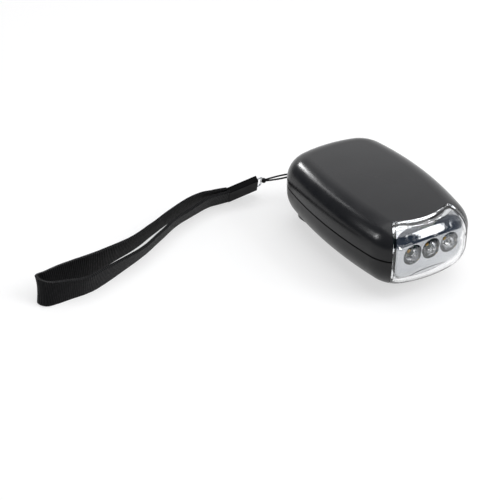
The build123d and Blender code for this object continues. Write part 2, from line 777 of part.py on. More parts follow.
plunger_height = board_top + switch_height / 2
switch_rear_y = switch_front_y - switch_depth
switch_plane = Plane(origin=(switch_x, switch_rear_y, plunger_height), x_dir=(1, 0, 0), z_dir=(0, 1, 0))
plunger_hole = plunger_side + 2 * button_gap
with BuildPart() as switch_body:
    with BuildSketch(switch_plane):
        Rectangle(switch_width, switch_height)
    extrude(amount=switch_depth)
    with BuildSketch(switch_plane.offset(switch_depth)):
        Rectangle(plunger_hole, plunger_hole)
    extrude(amount=-(plunger_engage + button_travel + button_gap), mode=Mode.SUBTRACT)
finish(switch_body, "switch_body")
with BuildPart() as switch_plunger:
    with BuildSketch(switch_plane.offset(switch_depth - plunger_engage)):
        Rectangle(plunger_side, plunger_side)
    extrude(amount=plunger_seat_y - switch_front_y + plunger_engage)
finish(switch_plunger, "switch_plunger")
with BuildPart() as button_collar:
    add(button_prism(button_flange, plunger_seat_y))
    add(behind_wall, mode=Mode.INTERSECT)
    split(bisect_by=Plane.XY.offset(seam_height + button_gap), keep=Keep.TOP)
with BuildPart() as power_button:
    add(pebble(-button_proud))
    add(button_prism(0, plunger_seat_y), mode=Mode.INTERSECT)
    add(button_collar.part)
finish(power_button, "power_button")

# Crank: the arm under the body, its shaft, bush, clip and screw
arm_plane = Plane(origin=(hub_x, 0, 0), x_dir=compass(crank_stow_angle, 1), z_dir=(0, 0, 1))
pin_x = crank_reach + arm_end_radius - knob_tip_wall - knob_clearance - knob_thickness / 2
slot_low_x = pin_x - knob_length - knob_clearance
slot_high_x = pin_x + knob_thickness / 2 + knob_clearance
slot_width = knob_width + 2 * knob_clearance
pin_length = slot_width + 2 * knob_pin_seat
head_room = crank_screw_head + joint_gap
clip_level = first_level + gear_thickness + fit_gap
square_hole = square_side + 2 * fit_gap


def pin_plane(aside):
    """A plane square to the knob's pin, some way aside of the arm's middle."""
    return Plane(
        origin=arm_plane.from_local_coords(Vector(pin_x, aside, arm_thickness / 2)),
        x_dir=arm_plane.x_dir,
        z_dir=arm_plane.y_dir,
    )


with BuildPart() as crank_arm:
    with BuildSketch(arm_plane):
        Circle(hub_radius)
        with Locations((crank_reach, 0)):
            Circle(arm_end_radius)
        make_hull()
    extrude(amount=arm_thickness)
    fillet(crank_arm.faces().filter_by(Axis.Z).edges(), arm_edge_round)
    with BuildSketch(arm_plane):
        with Locations(((slot_low_x + slot_high_x) / 2, 0)):
            Rectangle(slot_high_x - slot_low_x, slot_width)
        Rectangle(square_hole, square_hole)
    extrude(amount=arm_thickness, mode=Mode.SUBTRACT)
    with BuildSketch(arm_plane):
        Circle(crank_screw_head_radius + joint_gap)
    extrude(amount=head_room, mode=Mode.SUBTRACT)
    with BuildSketch(arm_plane):
        with Locations((slot_low_x, 0)):
            Circle(thumb_notch_radius)
    extrude(amount=thumb_notch_depth, mode=Mode.SUBTRACT)
    with BuildSketch(pin_plane(-pin_length / 2)):
        Circle(knob_pin_radius + fit_gap)
    extrude(amount=pin_length, mode=Mode.SUBTRACT)
finish(crank_arm, "crank_arm")
with BuildPart() as crank_shaft:
    with BuildSketch(arm_plane.offset(head_room)):
        Rectangle(square_side, square_side)
    extrude(amount=clip_level - fit_gap - head_room)
    add(rod(hub_place, crank_shaft_radius, arm_thickness, first_level))
    add(rod(hub_place, square_side / 2, first_level, clip_level + 2 * clip_thickness))
    add(rod(hub_place, crank_screw_radius + fit_gap, 0, head_room + crank_screw_length), mode=Mode.SUBTRACT)
finish(crank_shaft, "crank_shaft")
with BuildPart() as crank_screw:
    add(rod(hub_place, crank_screw_head_radius, joint_gap, head_room))
    add(rod(hub_place, crank_screw_radius, head_room, head_room + crank_screw_length - joint_gap))
    with BuildSketch(arm_plane.offset(joint_gap)):
        Rectangle(2 * crank_screw_head, crank_screw_radius)
        Rectangle(crank_screw_radius, 2 * crank_screw_head)
    extrude(amount=crank_screw_head / 2, mode=Mode.SUBTRACT)
finish(crank_screw, "crank_screw")
with BuildPart() as crank_bush:
    add(rod(hub_place, bush_radius, arm_thickness + running_gap, boss_top))
    add(rod(hub_place, bush_radius + bush_flange, boss_top, first_level - running_gap))
    add(rod(hub_place, crank_shaft_radius + running_gap, 0, crown_height), mode=Mode.SUBTRACT)
finish(crank_bush, "crank_bush")
with BuildPart() as shaft_clip:
    add(rod(hub_place, clip_radius, clip_level, clip_level + clip_thickness))
    add(rod(hub_place, square_side / 2 + fit_gap, 0, crown_height), mode=Mode.SUBTRACT)
finish(shaft_clip, "shaft_clip")

# Knob: a bar that folds out of the arm's slot about its pin
with BuildPart() as knob:
    with BuildSketch(pin_plane(-knob_width / 2)):
        Circle(knob_thickness / 2)
        with Locations((knob_thickness / 2 - knob_length, 0)):
            Circle(knob_thickness / 2)
        make_hull()
    extrude(amount=knob_width)
    with BuildSketch(pin_plane(-knob_width / 2)):
        with Locations((-knob_length / 2, knob_thickness / 2 + knob_dish_radius - knob_dish_depth)):
            Circle(knob_dish_radius)
        Circle(knob_pin_radius + running_gap)
    extrude(amount=knob_width, mode=Mode.SUBTRACT)
finish(knob, "knob")
with BuildPart() as knob_pin:
    with BuildSketch(pin_plane(-pin_length / 2)):
        Circle(knob_pin_radius)
    extrude(amount=pin_length)
finish(knob_pin, "knob_pin")

# Case screws: their heads sit in the lower shell, their ends in the upper
with BuildPart() as case_screws:
    with BuildSketch(Plane.XY.offset(case_head_seat)):
        with Locations(*case_screw_places):
            Circle(case_screw_head_radius)
    extrude(amount=-case_screw_head)
    with BuildSketch(Plane.XY.offset(case_head_seat)):
        with Locations(*case_screw_places):
            Circle(case_screw_radius - fit_gap)
    extrude(amount=case_screw_length)
finish(case_screws, "case_screws")

# Strap: the frame of the tab, which leans on its long edge; its ring end is held up
tab_axis = Vector(
    math.cos(tab_heading * deg) * math.cos(tab_pitch * deg),
    math.sin(tab_heading * deg) * math.cos(tab_pitch * deg),
    -math.sin(tab_pitch * deg),
)
level_across = Vector(-math.sin(tab_heading * deg), math.cos(tab_heading * deg), 0)
tab_up = tab_axis.cross(level_across).normalized().rotate(Axis((0, 0, 0), tab_axis), -tab_roll)
tab_lean = tab_roll * deg
tab_half_height = tab_width / 2 * math.sin(tab_lean) + tab_thickness / 2 * abs(math.cos(tab_lean))
tab_rest = tab_half_height * math.cos(tab_pitch * deg) + floor_gap
tab_start = Vector(
    tab_place_share[0] * body_length,
    tab_place_share[1] * body_length,
    tab_rest + tab_length * math.sin(tab_pitch * deg),
)
tab_plane = Plane(origin=tab_start, x_dir=tab_axis, z_dir=tab_up)
tab_end = tab_start + tab_axis * tab_length
ring_rear_x = ring_seat_inset - ring_length + 2 * ring_wire_radius
ring_half = ring_width / 2 - ring_wire_radius


def ring_wire(radius):
    """The bent ring, swept with a round section of the given radius."""
    with BuildPart() as wire:
        with BuildLine(tab_plane) as path:
            FilletPolyline((ring_rear_x, -ring_half), (ring_rear_x, ring_half),
                           (ring_seat_inset, ring_half), (ring_seat_inset, -ring_half),
                           radius=ring_corner, close=True)
        with BuildSketch(Plane(origin=path.line @ 0, z_dir=path.line % 0)):
            Circle(radius)
        sweep(path=path.line)
    return wire.part


with BuildPart() as strap_ring:
    add(ring_wire(ring_wire_radius))
finish(strap_ring, "strap_ring")
with BuildPart() as strap_tab:
    with BuildSketch(tab_plane.offset(-tab_thickness / 2)):
        with Locations((tab_length / 2, 0)):
            Rectangle(tab_length, tab_width)
    extrude(amount=tab_thickness)
    fillet(strap_tab.faces().filter_by(tab_plane).edges(), tab_round)
    add(ring_wire(ring_wire_radius + fit_gap), mode=Mode.SUBTRACT)
finish(strap_tab, "strap_tab")

# Cord: from the knot round the eye post and back, the strands crossing once
post_top = Vector(eye_post.X, eye_post.Y, (eye_floor + seam_height) / 2)
ring_rear = tab_plane.from_local_coords(Vector(ring_rear_x, 0, 0))
cord_way = ring_rear - post_top
cord_aside = cord_way.cross(Vector(0, 0, 1)).normalized() * -cord_diameter
out_route = [
    post_top + cord_way * along + cord_aside * aside + Vector(0, 0, cord_diameter * high)
    for along, aside, high in cord_route_shares
]
home_route = [
    post_top + cord_way * along - cord_aside * aside - Vector(0, 0, cord_diameter * high)
    for along, aside, high in reversed(cord_route_shares)
]
cord_route = out_route + home_route


def corner_radii(points):
    """The largest arc that each inner point's two runs leave room for."""
    radii = []
    for before, here, after in zip(points, points[1:], points[2:]):
        turn = (here - before).get_angle(after - here)
        run = min((here - before).length, (after - here).length)
        radii.append(cord_arc_share * run / math.tan(turn / 2 * deg))
    return radii


cord_radii = corner_radii(cord_route)
with BuildPart() as strap_cord:
    with BuildLine() as cord_path:
        FilletPolyline(*cord_route, radius=cord_radii)
    with BuildSketch(Plane(origin=cord_path.line @ 0, z_dir=cord_path.line % 0)):
        Circle(cord_diameter / 2)
    sweep(path=cord_path.line)
finish(strap_cord, "strap_cord")
print("cord route", [tuple(round(c, 2) for c in point) for point in cord_route])
print("cord radii", [round(radius, 2) for radius in cord_radii])
cord_length = sum(edge.length for edge in cord_path.line.edges())
cord_section = math.pi * cord_diameter**2 / 4
print("cord length", cord_length, "volume", strap_cord.part.volume, cord_length * cord_section)
with BuildPart() as strap_knot:
    with Locations(post_top + cord_way * (1 - knot_radius / cord_way.length)):
        Sphere(knot_radius)
    add(strap_cord.part, mode=Mode.SUBTRACT)
    add(ring_wire(ring_wire_radius + fit_gap), mode=Mode.SUBTRACT)
finish(strap_knot, "strap_knot")

# Webbing: one band, out and home, standing on its edge on the table
lean_aside = compass(webbing_lean_heading, 1)
layer_step = tab_plane.z_dir * (webbing_thickness + webbing_layer_gap) / 2
webbing_points = [tab_end + layer_step]
webbing_leans = []
for x, y, lean, lift in webbing_route_shares:
    rest = webbing_width / 2 * math.sin(lean * deg) + webbing_thickness / 2 * abs(math.cos(lean * deg))
    height = rest + lift * webbing_thickness + floor_gap
    webbing_points.append(Vector(x * body_length, y * body_length, height))
    webbing_leans.append(lean)
webbing_points.append(tab_end - layer_step)
across = tab_plane.y_dir * -1
stations = [Plane(origin=webbing_points[0], x_dir=across, z_dir=tab_axis)]
for before, here, after, lean in zip(webbing_points, webbing_points[1:], webbing_points[2:], webbing_leans):
    ahead = (after - before).normalized()
    edge = lean_aside * math.cos(lean * deg) + Vector(0, 0, math.sin(lean * deg))
    edge = (edge - ahead * edge.dot(ahead)).normalized()
    stations.append(Plane(origin=here, x_dir=edge, z_dir=ahead))
stations.append(Plane(origin=webbing_points[-1], x_dir=across, z_dir=tab_axis * -1))
with BuildPart() as strap_webbing:
    for station in stations:
        with BuildSketch(station):
            Rectangle(webbing_width, webbing_thickness)
    loft(ruled=True)
finish(strap_webbing, "strap_webbing")
webbing_length = sum((b - a).length for a, b in zip(webbing_points, webbing_points[1:]))
webbing_section = webbing_width * webbing_thickness
print("webbing", webbing_length, "volume", strap_webbing.part.volume, webbing_length * webbing_section)
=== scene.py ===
import math

import bmesh
import bpy
from mathutils import Matrix, Vector


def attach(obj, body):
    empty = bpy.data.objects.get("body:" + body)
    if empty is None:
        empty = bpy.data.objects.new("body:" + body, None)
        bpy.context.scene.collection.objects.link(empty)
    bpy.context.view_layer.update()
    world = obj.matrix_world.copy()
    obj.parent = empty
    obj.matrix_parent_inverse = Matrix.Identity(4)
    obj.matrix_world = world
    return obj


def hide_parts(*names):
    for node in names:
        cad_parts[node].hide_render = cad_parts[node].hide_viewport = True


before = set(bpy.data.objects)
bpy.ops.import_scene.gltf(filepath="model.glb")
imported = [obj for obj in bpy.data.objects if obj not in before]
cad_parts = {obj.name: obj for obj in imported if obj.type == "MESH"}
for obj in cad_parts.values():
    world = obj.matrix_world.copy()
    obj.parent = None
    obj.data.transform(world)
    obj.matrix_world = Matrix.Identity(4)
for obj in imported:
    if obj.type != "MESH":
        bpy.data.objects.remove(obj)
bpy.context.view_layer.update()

bl_info = {
    "name": "Crank flashlight",
    "version": (1, 0, 0),
    "blender": (4, 5, 0),
    "location": "View3D > Sidebar > Flashlight",
    "description": "Dresses a crank-charged pocket flashlight and its wrist strap",
    "category": "Object",
}

# Lengths are in metres, unless a comment says otherwise
MM = 0.001
BODY_LENGTH = 85.0

# The cord's route, from the knot round the eye post and back
CORD_ROUTE = [
    (-0.05756, -0.01992, 0.00924), (-0.05416, -0.01444, 0.01156), (-0.04890, -0.01008, 0.01397),
    (-0.04301, -0.00534, 0.01577), (-0.03862, 0.00026, 0.01804), (-0.04128, 0.00237, 0.01804),
    (-0.04575, -0.00316, 0.01577), (-0.04905, -0.00997, 0.01285), (-0.05212, -0.01607, 0.01100),
    (-0.05669, -0.02061, 0.00924),
]

# The webbing's route: place along and aside in body lengths, and lean in
# degrees, out along the front strand and home along the rear
WEBBING_STATIONS = [
    (-0.7093, -0.5163, 127), (-0.7066, -0.5747, 131), (-0.6685, -0.6813, 135),
    (-0.6251, -0.7984, 138), (-0.5413, -0.9290, 139), (-0.4607, -1.0601, 136),
    (-0.4123, -1.1791, 128), (-0.3676, -1.2979, 119), (-0.3314, -1.4061, 114),
    (-0.3450, -1.4940, 102), (-0.3550, -1.5760, 88), (-0.3710, -1.6090, 73),
    (-0.4070, -1.6280, 68), (-0.4450, -1.6120, 68), (-0.4435, -1.5797, 74),
    (-0.4637, -1.5023, 80), (-0.4730, -1.4102, 87), (-0.4892, -1.3030, 103),
    (-0.5196, -1.1833, 116), (-0.5520, -1.0661, 124), (-0.6187, -0.9374, 131),
    (-0.6862, -0.8068, 130), (-0.7422, -0.6750, 128), (-0.7726, -0.5559, 132),
    (-0.7556, -0.4970, 127),
]
# The level direction towards which the band leans, in degrees
LEAN_HEADING = 151.1
BAND_COLUMNS = 8
BAND_RESOLUTION, CORD_RESOLUTION = 10, 12

# The tab: its ring end in body lengths, its directions in degrees and its
# sizes in mm
TAB_PLACE = (-0.6893, -0.2839)
TAB_HEADING, TAB_PITCH, TAB_ROLL = 263.9, 11.5, 123.0
TAB_LENGTH, TAB_WIDTH, TAB_THICKNESS = 14.7, 10.6, 3.0
# In mm: between the band's two layers, above the floor, and inside the tab
LAYER_GAP, FLOOR_GAP, TAB_OVERLAP = 0.1, 0.05, 1.2

# The groove between the shells, where painted shade darkens the shells: its height and the half
# width of the painted band
SEAM_HEIGHT, SEAM_SHADE_HALF = 0.0205, 0.00038
# The mirror's cups lie behind the one and below the other
CUP_MOUTH_X, CUP_TOP_HEIGHT = 0.0374, 0.0256

# The rim behind the window. It takes the faces that look towards the middle,
# but none that look back more than this, and fewer of those that look down.
WINDOW_MIDDLE = (0.036, 0.0, 0.02)
RIM_BACK, RIM_BACK_DOWN, RIM_DOWN = -0.75, -0.35, -0.3
RIM_OFFSET, RIM_MERGE = 0.00012, 0.00001

# The tips of the diodes, and what lies behind each tip
LED_SPACING = 0.0087
LED_PLACES = [(0.0392, side * LED_SPACING, 0.0212) for side in (-1, 0, 1)]
DIE_SETBACK, DIE_DEPTH, DIE_RADII = 0.0036, 0.0005, (0.0002, 0.0005)
POST_FOOT, POST_ASIDE, POST_RADIUS = 0.0082, 0.0011, 0.00035
# Side, setback of the top and radius of the top, the one with the die's bowl first
LED_POSTS = ((1, 0.0052, 0.0011), (-1, 0.0057, 0.0006))
FOOT_SETBACK, FOOT_DEPTH, FOOT_RADII = 0.0062, 0.0003, (0.0023, 0.0022)

# The floor, just under the flashlight, and the two soft lamps' sizes and places
FLOOR_HALF_SIZE, FLOOR_DROP = 4.0, 0.0001
KEY_SIZE, KEY_PLACE = (1.2, 1.15), (0.05, 0.1, 1.05)
FILL_SIZE, FILL_PLACE = (0.7, 0.7), (0.7, 0.75, 0.75)
# Small lamps that light nothing dull and make the highlights: power, size,
# place, aim and long side. The cup lamp is left out of gloss as well, and
# reaches the mirror through the clear window alone.
GLINT_LAMPS = [
    ("corner_lamp", 2.2, (0.12, 0.09), (-0.81, -0.15, 0.46), (-0.027, -0.02, 0.032),
     (0.0, 1.0, 0.0)),
    ("shoulder_lamp", 0.75, (0.5, 0.08), (-0.67, -0.29, 0.57), (0.0, -0.02, 0.032),
     (0.33, -0.18, 0.29)),
    ("bulge_lamp", 2.0, (0.12, 0.2), (-0.19, -0.72, 0.45), (0.029, -0.02, 0.03),
     (1.0, 0.0, 0.0)),
    ("window_lamp", 0.028, (0.13, 0.022), (0.3045, 0.218, 0.229), (0.0365, 0.001, 0.027),
     (-0.14, 0.0, 0.17)),
    ("cup_lamp", 1.4, (0.5, 0.3), (0.75, -0.1, 0.2), (0.036, 0.0, 0.02), (0.0, 1.0, 0.0)),
]

# The backdrop is white towards this direction and falls to slate away from it
BACKDROP_WHITE_SIDE = (-0.65, 0.75, 0.0)
BACKDROP_FALL = (0.2, 0.75)
SLATE, WHITE = (0.05, 0.064, 0.09), (1.0, 1.0, 1.0)

# The camera, fitted to the photo: its place, and its angles in degrees
CAMERA_PLACE = (0.3066, -0.2302, 0.2626)
CAMERA_AZIMUTH, CAMERA_ELEVATION, CAMERA_ROLL = 61.027, 34.833, -0.787
SENSOR_WIDTH_MM, CLIP_START = 36.0, 0.01

# The range that holds most values of a noise, and the depth of a sparkle
NOISE_RANGE = (0.3, 0.7)
SPARKLE_DEPTH = 0.0005


# ---- sizes and colours that a user would change

class FlashlightStrapSizes(bpy.types.PropertyGroup):
    """Sizes of the wrist strap"""
    cord_diameter: bpy.props.FloatProperty(
        name="Cord diameter", description="Thickness of the thin cord",
        default=0.0008, unit="LENGTH")
    webbing_width: bpy.props.FloatProperty(
        name="Webbing width", description="Width of the woven band",
        default=0.0105, unit="LENGTH")
    webbing_thickness: bpy.props.FloatProperty(
        name="Webbing thickness", description="Thickness of the woven band",
        default=0.0013, unit="LENGTH")
    rib_pitch: bpy.props.FloatProperty(
        name="Rib pitch", description="Distance between two ribs of the weave",
        default=0.00085, unit="LENGTH")


class FlashlightColours(bpy.types.PropertyGroup):
    """Colours of the flashlight's finishes"""
    upper_case: bpy.props.FloatVectorProperty(
        name="Upper case", description="Moulded upper shell", subtype="COLOR", size=3,
        default=(0.02, 0.0203, 0.0222))
    lower_case: bpy.props.FloatVectorProperty(
        name="Lower case", description="Moulded lower shell", subtype="COLOR", size=3,
        default=(0.016, 0.016, 0.017))
    strap: bpy.props.FloatVectorProperty(
        name="Strap", description="Woven band, cord and tab", subtype="COLOR", size=3,
        default=(0.0035, 0.0035, 0.004))
    diode_phosphor: bpy.props.FloatVectorProperty(
        name="Diode phosphor", description="Yellow die inside each diode", subtype="COLOR",
        size=3, default=(0.90, 0.52, 0.06))


class FlashlightStage(bpy.types.PropertyGroup):
    """Floor, lamps and camera"""
    lens_length: bpy.props.FloatProperty(
        name="Lens", description="Focal length of the camera on a 36 mm sensor", default=77.0)
    key_power: bpy.props.FloatProperty(
        name="Key lamp", description="Power of the large soft lamp above",
        default=9.0, unit="POWER")
    fill_power: bpy.props.FloatProperty(
        name="Fill lamp", description="Power of the soft lamp at the front right",
        default=10.0, unit="POWER")
    glint_power: bpy.props.FloatProperty(
        name="Glint lamps",
        description="Share of the power of the small lamps that make the highlights",
        default=1.0)
    ambient: bpy.props.FloatProperty(
        name="Ambient", description="Strength of the even light all round", default=0.18)


# ---- node helpers

def feed(links, value, socket):
    """Links another node's output to a socket, or sets a number on the socket."""
    if isinstance(value, bpy.types.NodeSocket):
        links.new(value, socket)
    else:
        socket.default_value = value


def math_node(nodes, links, operation, *values):
    """The result of a sum on numbers and other nodes' outputs."""
    node = nodes.new("ShaderNodeMath")
    node.operation = operation
    for value, socket in zip(values, node.inputs):
        feed(links, value, socket)
    return node.outputs["Value"]


def colour_ramp(nodes, ends, colours):
    """A ramp from one colour to another between two values."""
    ramp = nodes.new("ShaderNodeValToRGB")
    for element, position, colour in zip(ramp.color_ramp.elements, ends, colours):
        element.position = position
        element.color = (*colour, 1.0)
    return ramp


def seen_directly(nodes, links):
    """One for what the camera, a mirror or a clear piece sees, zero for what only lights."""
    path = nodes.new("ShaderNodeLightPath")
    value = path.outputs["Is Camera Ray"]
    for label in ("Is Glossy Ray", "Is Transmission Ray"):
        value = math_node(nodes, links, "MAXIMUM", value, path.outputs[label])
    return value


def split_seen(tree, lighting, seen, surface):
    """One shader for what is seen directly and another for the light thrown back."""
    mix = tree.nodes.new("ShaderNodeMixShader")
    tree.links.new(seen_directly(tree.nodes, tree.links), mix.inputs["Fac"])
    tree.links.new(lighting, mix.inputs[1])
    tree.links.new(seen, mix.inputs[2])
    tree.links.new(mix.outputs["Shader"], surface)


# ---- material helpers

class Finish:
    """A Principled material whose colour, roughness and bump come from nodes."""

    def __init__(self, name):
        self.material = bpy.data.materials.new(name)
        self.material.use_nodes = True
        self.nodes = self.material.node_tree.nodes
        self.links = self.material.node_tree.links
        self.shader = self.nodes["Principled BSDF"]
        self.place = self.nodes.new("ShaderNodeTexCoord")

    def set(self, **sockets):
        """Sets numbers on the shader's own sockets."""
        for label, value in sockets.items():
            self.shader.inputs[label.replace("_", " ")].default_value = value
        return self

    def noise(self, scale, detail=3.0):
        node = self.nodes.new("ShaderNodeTexNoise")
        node.inputs["Scale"].default_value = scale
        node.inputs["Detail"].default_value = detail
        self.links.new(self.place.outputs["Object"], node.inputs["Vector"])
        return node.outputs["Fac"]

    def math(self, operation, *values):
        return math_node(self.nodes, self.links, operation, *values)

    def coordinates(self):
        """The three coordinates of a point in the piece's own space."""
        node = self.nodes.new("ShaderNodeSeparateXYZ")
        self.links.new(self.place.outputs["Object"], node.inputs["Vector"])
        return node.outputs

    def colour(self, factor, dark, light):
        ramp = colour_ramp(self.nodes, NOISE_RANGE, (dark, light))
        self.links.new(factor, ramp.inputs["Fac"])
        self.links.new(ramp.outputs["Color"], self.shader.inputs["Base Color"])
        return self

    def roughness(self, factor, low, high):
        spread = self.nodes.new("ShaderNodeMapRange")
        for label, value in zip(("From Min", "From Max", "To Min", "To Max"),
                                (*NOISE_RANGE, low, high)):
            spread.inputs[label].default_value = value
        self.links.new(factor, spread.inputs["Value"])
        self.links.new(spread.outputs["Result"], self.shader.inputs["Roughness"])
        return self

    def bump(self, height, strength, depth):
        node = self.nodes.new("ShaderNodeBump")
        feed(self.links, strength, node.inputs["Strength"])
        node.inputs["Distance"].default_value = depth
        self.links.new(height, node.inputs["Height"])
        self.links.new(node.outputs["Normal"], self.shader.inputs["Normal"])
        return self


def shade(colour, factor):
    """A colour made darker or lighter by a factor."""
    return tuple(min(1.0, c * factor) for c in colour)


def moulded(name, colour, low, high, grain=0.00002, grain_scale=2200.0):
    """Moulded plastic with a fine spark-eroded grain."""
    finish = Finish(name)
    finish.colour(finish.noise(60.0), shade(colour, 0.9), shade(colour, 1.1))
    finish.roughness(finish.noise(140.0), low, high)
    finish.bump(finish.noise(grain_scale, 2.0), 0.35, grain)
    return finish


def shell_plastic(name, colour, low, high, gloss):
    """The shells' plastic, dull in the groove of the seam, with painted shade there that takes
    its colour near black.
    """
    finish = moulded(name, colour, low, high, grain=0.000008, grain_scale=2600.0)
    finish.set(Specular_IOR_Level=gloss)
    height = finish.coordinates()["Z"]
    away = finish.math("ABSOLUTE", finish.math("SUBTRACT", height, SEAM_HEIGHT))
    painted_seam_shade = finish.math("LESS_THAN", away, SEAM_SHADE_HALF)
    # Painted shade: inside the seam's groove the colour goes near black and the roughness goes
    # to full
    for label, kind, value in (("Base Color", "RGBA", (0.001, 0.001, 0.001, 1.0)),
                               ("Roughness", "FLOAT", 1.0)):
        socket = finish.shader.inputs[label]
        source = socket.links[0].from_socket
        mix = finish.nodes.new("ShaderNodeMix")
        mix.data_type = kind
        inputs = [i for i in mix.inputs if i.enabled]
        output = [o for o in mix.outputs if o.enabled][0]
        finish.links.new(painted_seam_shade, inputs[0])
        finish.links.new(source, inputs[1])
        inputs[2].default_value = value
        finish.links.new(output, socket)
    return finish


def metal(name, colour, low, high):
    """Bright metal with a slight unevenness in its polish."""
    finish = Finish(name).set(Metallic=1.0)
    finish.colour(finish.noise(90.0), shade(colour, 0.92), shade(colour, 1.04))
    finish.roughness(finish.noise(500.0), low, high)
    finish.bump(finish.noise(1500.0), 0.15, 0.000008)
    return finish


def sparkle(finish, strength, scale=800.0):
    """An uneven face that breaks up what it mirrors."""
    return finish.bump(finish.noise(scale, 1.0), strength, SPARKLE_DEPTH)


def clear(name, tint, ior, high):
    """Clear moulded plastic, with the faint flow marks of its mould."""
    finish = Finish(name).set(IOR=ior, Transmission_Weight=1.0)
    finish.colour(finish.noise(40.0), shade(tint, 0.985), tint)
    finish.roughness(finish.noise(160.0), 0.0, high)
    finish.bump(finish.noise(70.0, 1.0), 0.05, 0.00001)
    return finish


# ---- pieces

def dress(finish, *names):
    """Gives CAD nodes a finish."""
    for name in names:
        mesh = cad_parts[name].data
        mesh.materials.clear()
        mesh.materials.append(finish.material)


def new_piece(name, bm, finish, body="root"):
    """Turns a bmesh into a piece, which rides on a body unless that is None."""
    mesh = bpy.data.meshes.new(name)
    bm.to_mesh(mesh)
    bm.free()
    for polygon in mesh.polygons:
        polygon.use_smooth = True
    piece = bpy.data.objects.new(name, mesh)
    bpy.context.scene.collection.objects.link(piece)
    mesh.materials.append(finish.material)
    if body:
        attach(piece, body)
    return piece


def lying_cone(bm, place, depth, radii, segments):
    """Adds a round bar that lies along the flashlight and may taper to the front."""
    turn = Matrix.Translation(place) @ Matrix.Rotation(math.pi / 2, 4, "Y")
    bmesh.ops.create_cone(bm, cap_ends=True, segments=segments, radius1=radii[0],
                          radius2=radii[1], depth=depth, matrix=turn)


def turned(place, side, up, back):
    """A placed turn that takes X, Y and Z to three directions."""
    return Matrix.Translation(place) @ Matrix((side, up, back)).transposed().to_4x4()


# ---- routes

def route_curve(name, points):
    """A smooth open curve with the route's points as its control points."""
    curve = bpy.data.curves.new(name, "CURVE")
    curve.dimensions = "3D"
    spline = curve.splines.new("NURBS")
    spline.points.add(len(points) - 1)
    for point, place in zip(spline.points, points):
        point.co = (*place, 1.0)
    spline.order_u = 3
    spline.use_endpoint_u = True
    return curve


def tab_frame():
    """The tab's ring end and its directions: along, across and up."""
    heading, pitch, roll = map(math.radians, (TAB_HEADING, TAB_PITCH, TAB_ROLL))
    along = Vector((math.cos(heading) * math.cos(pitch), math.sin(heading) * math.cos(pitch),
                    -math.sin(pitch)))
    level = Vector((-math.sin(heading), math.cos(heading), 0.0))
    up = Matrix.Rotation(-roll, 3, along) @ along.cross(level).normalized()
    half_height = TAB_WIDTH / 2 * math.sin(roll) + TAB_THICKNESS / 2 * abs(math.cos(roll))
    rest = half_height * math.cos(pitch) + FLOOR_GAP
    start = Vector((TAB_PLACE[0] * BODY_LENGTH, TAB_PLACE[1] * BODY_LENGTH,
                    rest + TAB_LENGTH * math.sin(pitch))) * MM
    return start, along, up.cross(along), up


def webbing_route(width, thickness):
    """The band's control points and the direction across it at each."""
    start, along, across, up = tab_frame()
    end = start + along * (TAB_LENGTH - TAB_OVERLAP) * MM
    layer = up * (thickness + LAYER_GAP * MM) / 2
    heading = math.radians(LEAN_HEADING)
    aside = Vector((math.cos(heading), math.sin(heading), 0.0))
    points, edges = [end + layer], [-across]
    for x, y, lean in WEBBING_STATIONS:
        lean = math.radians(lean)
        height = width / 2 * math.sin(lean) + thickness / 2 * abs(math.cos(lean))
        height += FLOOR_GAP * MM
        points.append(Vector((x * BODY_LENGTH * MM, y * BODY_LENGTH * MM, height)))
        edges.append(aside * math.cos(lean) + Vector((0.0, 0.0, math.sin(lean))))
    return points + [end - layer], edges + [-across]


def curve_points(curve, resolution):
    """Points along a curve's own smooth line."""
    curve.resolution_u = resolution
    probe = bpy.data.objects.new("route_probe", curve)
    bpy.context.scene.collection.objects.link(probe)
    line = bpy.data.meshes.new_from_object(probe)
    places = [vertex.co.copy() for vertex in line.vertices]
    bpy.data.objects.remove(probe)
    bpy.data.meshes.remove(line)
    return places


def shares_along(points):
    """How far along a line each of its points lies, from 0 to 1."""
    reach = [0.0]
    for before, here in zip(points, points[1:]):
        reach.append(reach[-1] + (here - before).length)
    return [value / reach[-1] for value in reach], reach[-1]


def edge_at(share, shares, edges):
    """The direction across the band at some share of its length."""
    for index in range(len(shares) - 1):
        if share <= shares[index + 1]:
            break
    span = shares[index + 1] - shares[index]
    factor = min(1.0, max(0.0, (share - shares[index]) / span))
    return edges[index].lerp(edges[index + 1], factor).normalized()


def directions_along(line, shares, control_shares, edges):
    """The directions ahead and across the band at each point of its line."""
    directions = []
    for index, share in enumerate(shares):
        before, after = line[max(0, index - 1)], line[min(len(line) - 1, index + 1)]
        ahead = (after - before).normalized()
        edge = edge_at(share, control_shares, edges)
        directions.append((ahead, (edge - ahead * edge.dot(ahead)).normalized()))
    return directions


def ribbon(line, directions, shares, length, width):
    """A band of no thickness laid along a line, with UVs in band widths."""
    bm = bmesh.new()
    uv = bm.loops.layers.uv.new("UVMap")
    across_key = bm.verts.layers.float.new("across")
    along_key = bm.verts.layers.float.new("along")
    row = [bm.verts.new((0.0, 0.0, 0.0)) for _ in range(BAND_COLUMNS + 1)]
    row_edges = [bm.edges.new(pair) for pair in zip(row, row[1:])]
    for index, (place, (_, edge)) in enumerate(zip(line, directions)):
        if index:
            made = bmesh.ops.extrude_edge_only(bm, edges=row_edges)["geom"]
            row_edges = [g for g in made if isinstance(g, bmesh.types.BMEdge)
                         and all(v in made for v in g.verts)]
            row = [g for g in made if isinstance(g, bmesh.types.BMVert)]
        for column, vertex in enumerate(row):
            aside = column / BAND_COLUMNS - 0.5
            vertex.co = place + edge * width * aside
            vertex[across_key] = aside + 0.5
            vertex[along_key] = shares[index] * length / width
    for face in bm.faces:
        for loop in face.loops:
            loop[uv].uv = (loop.vert[across_key], loop.vert[along_key])
    bmesh.ops.recalc_face_normals(bm, faces=bm.faces)
    settle_order(bm)
    return bm


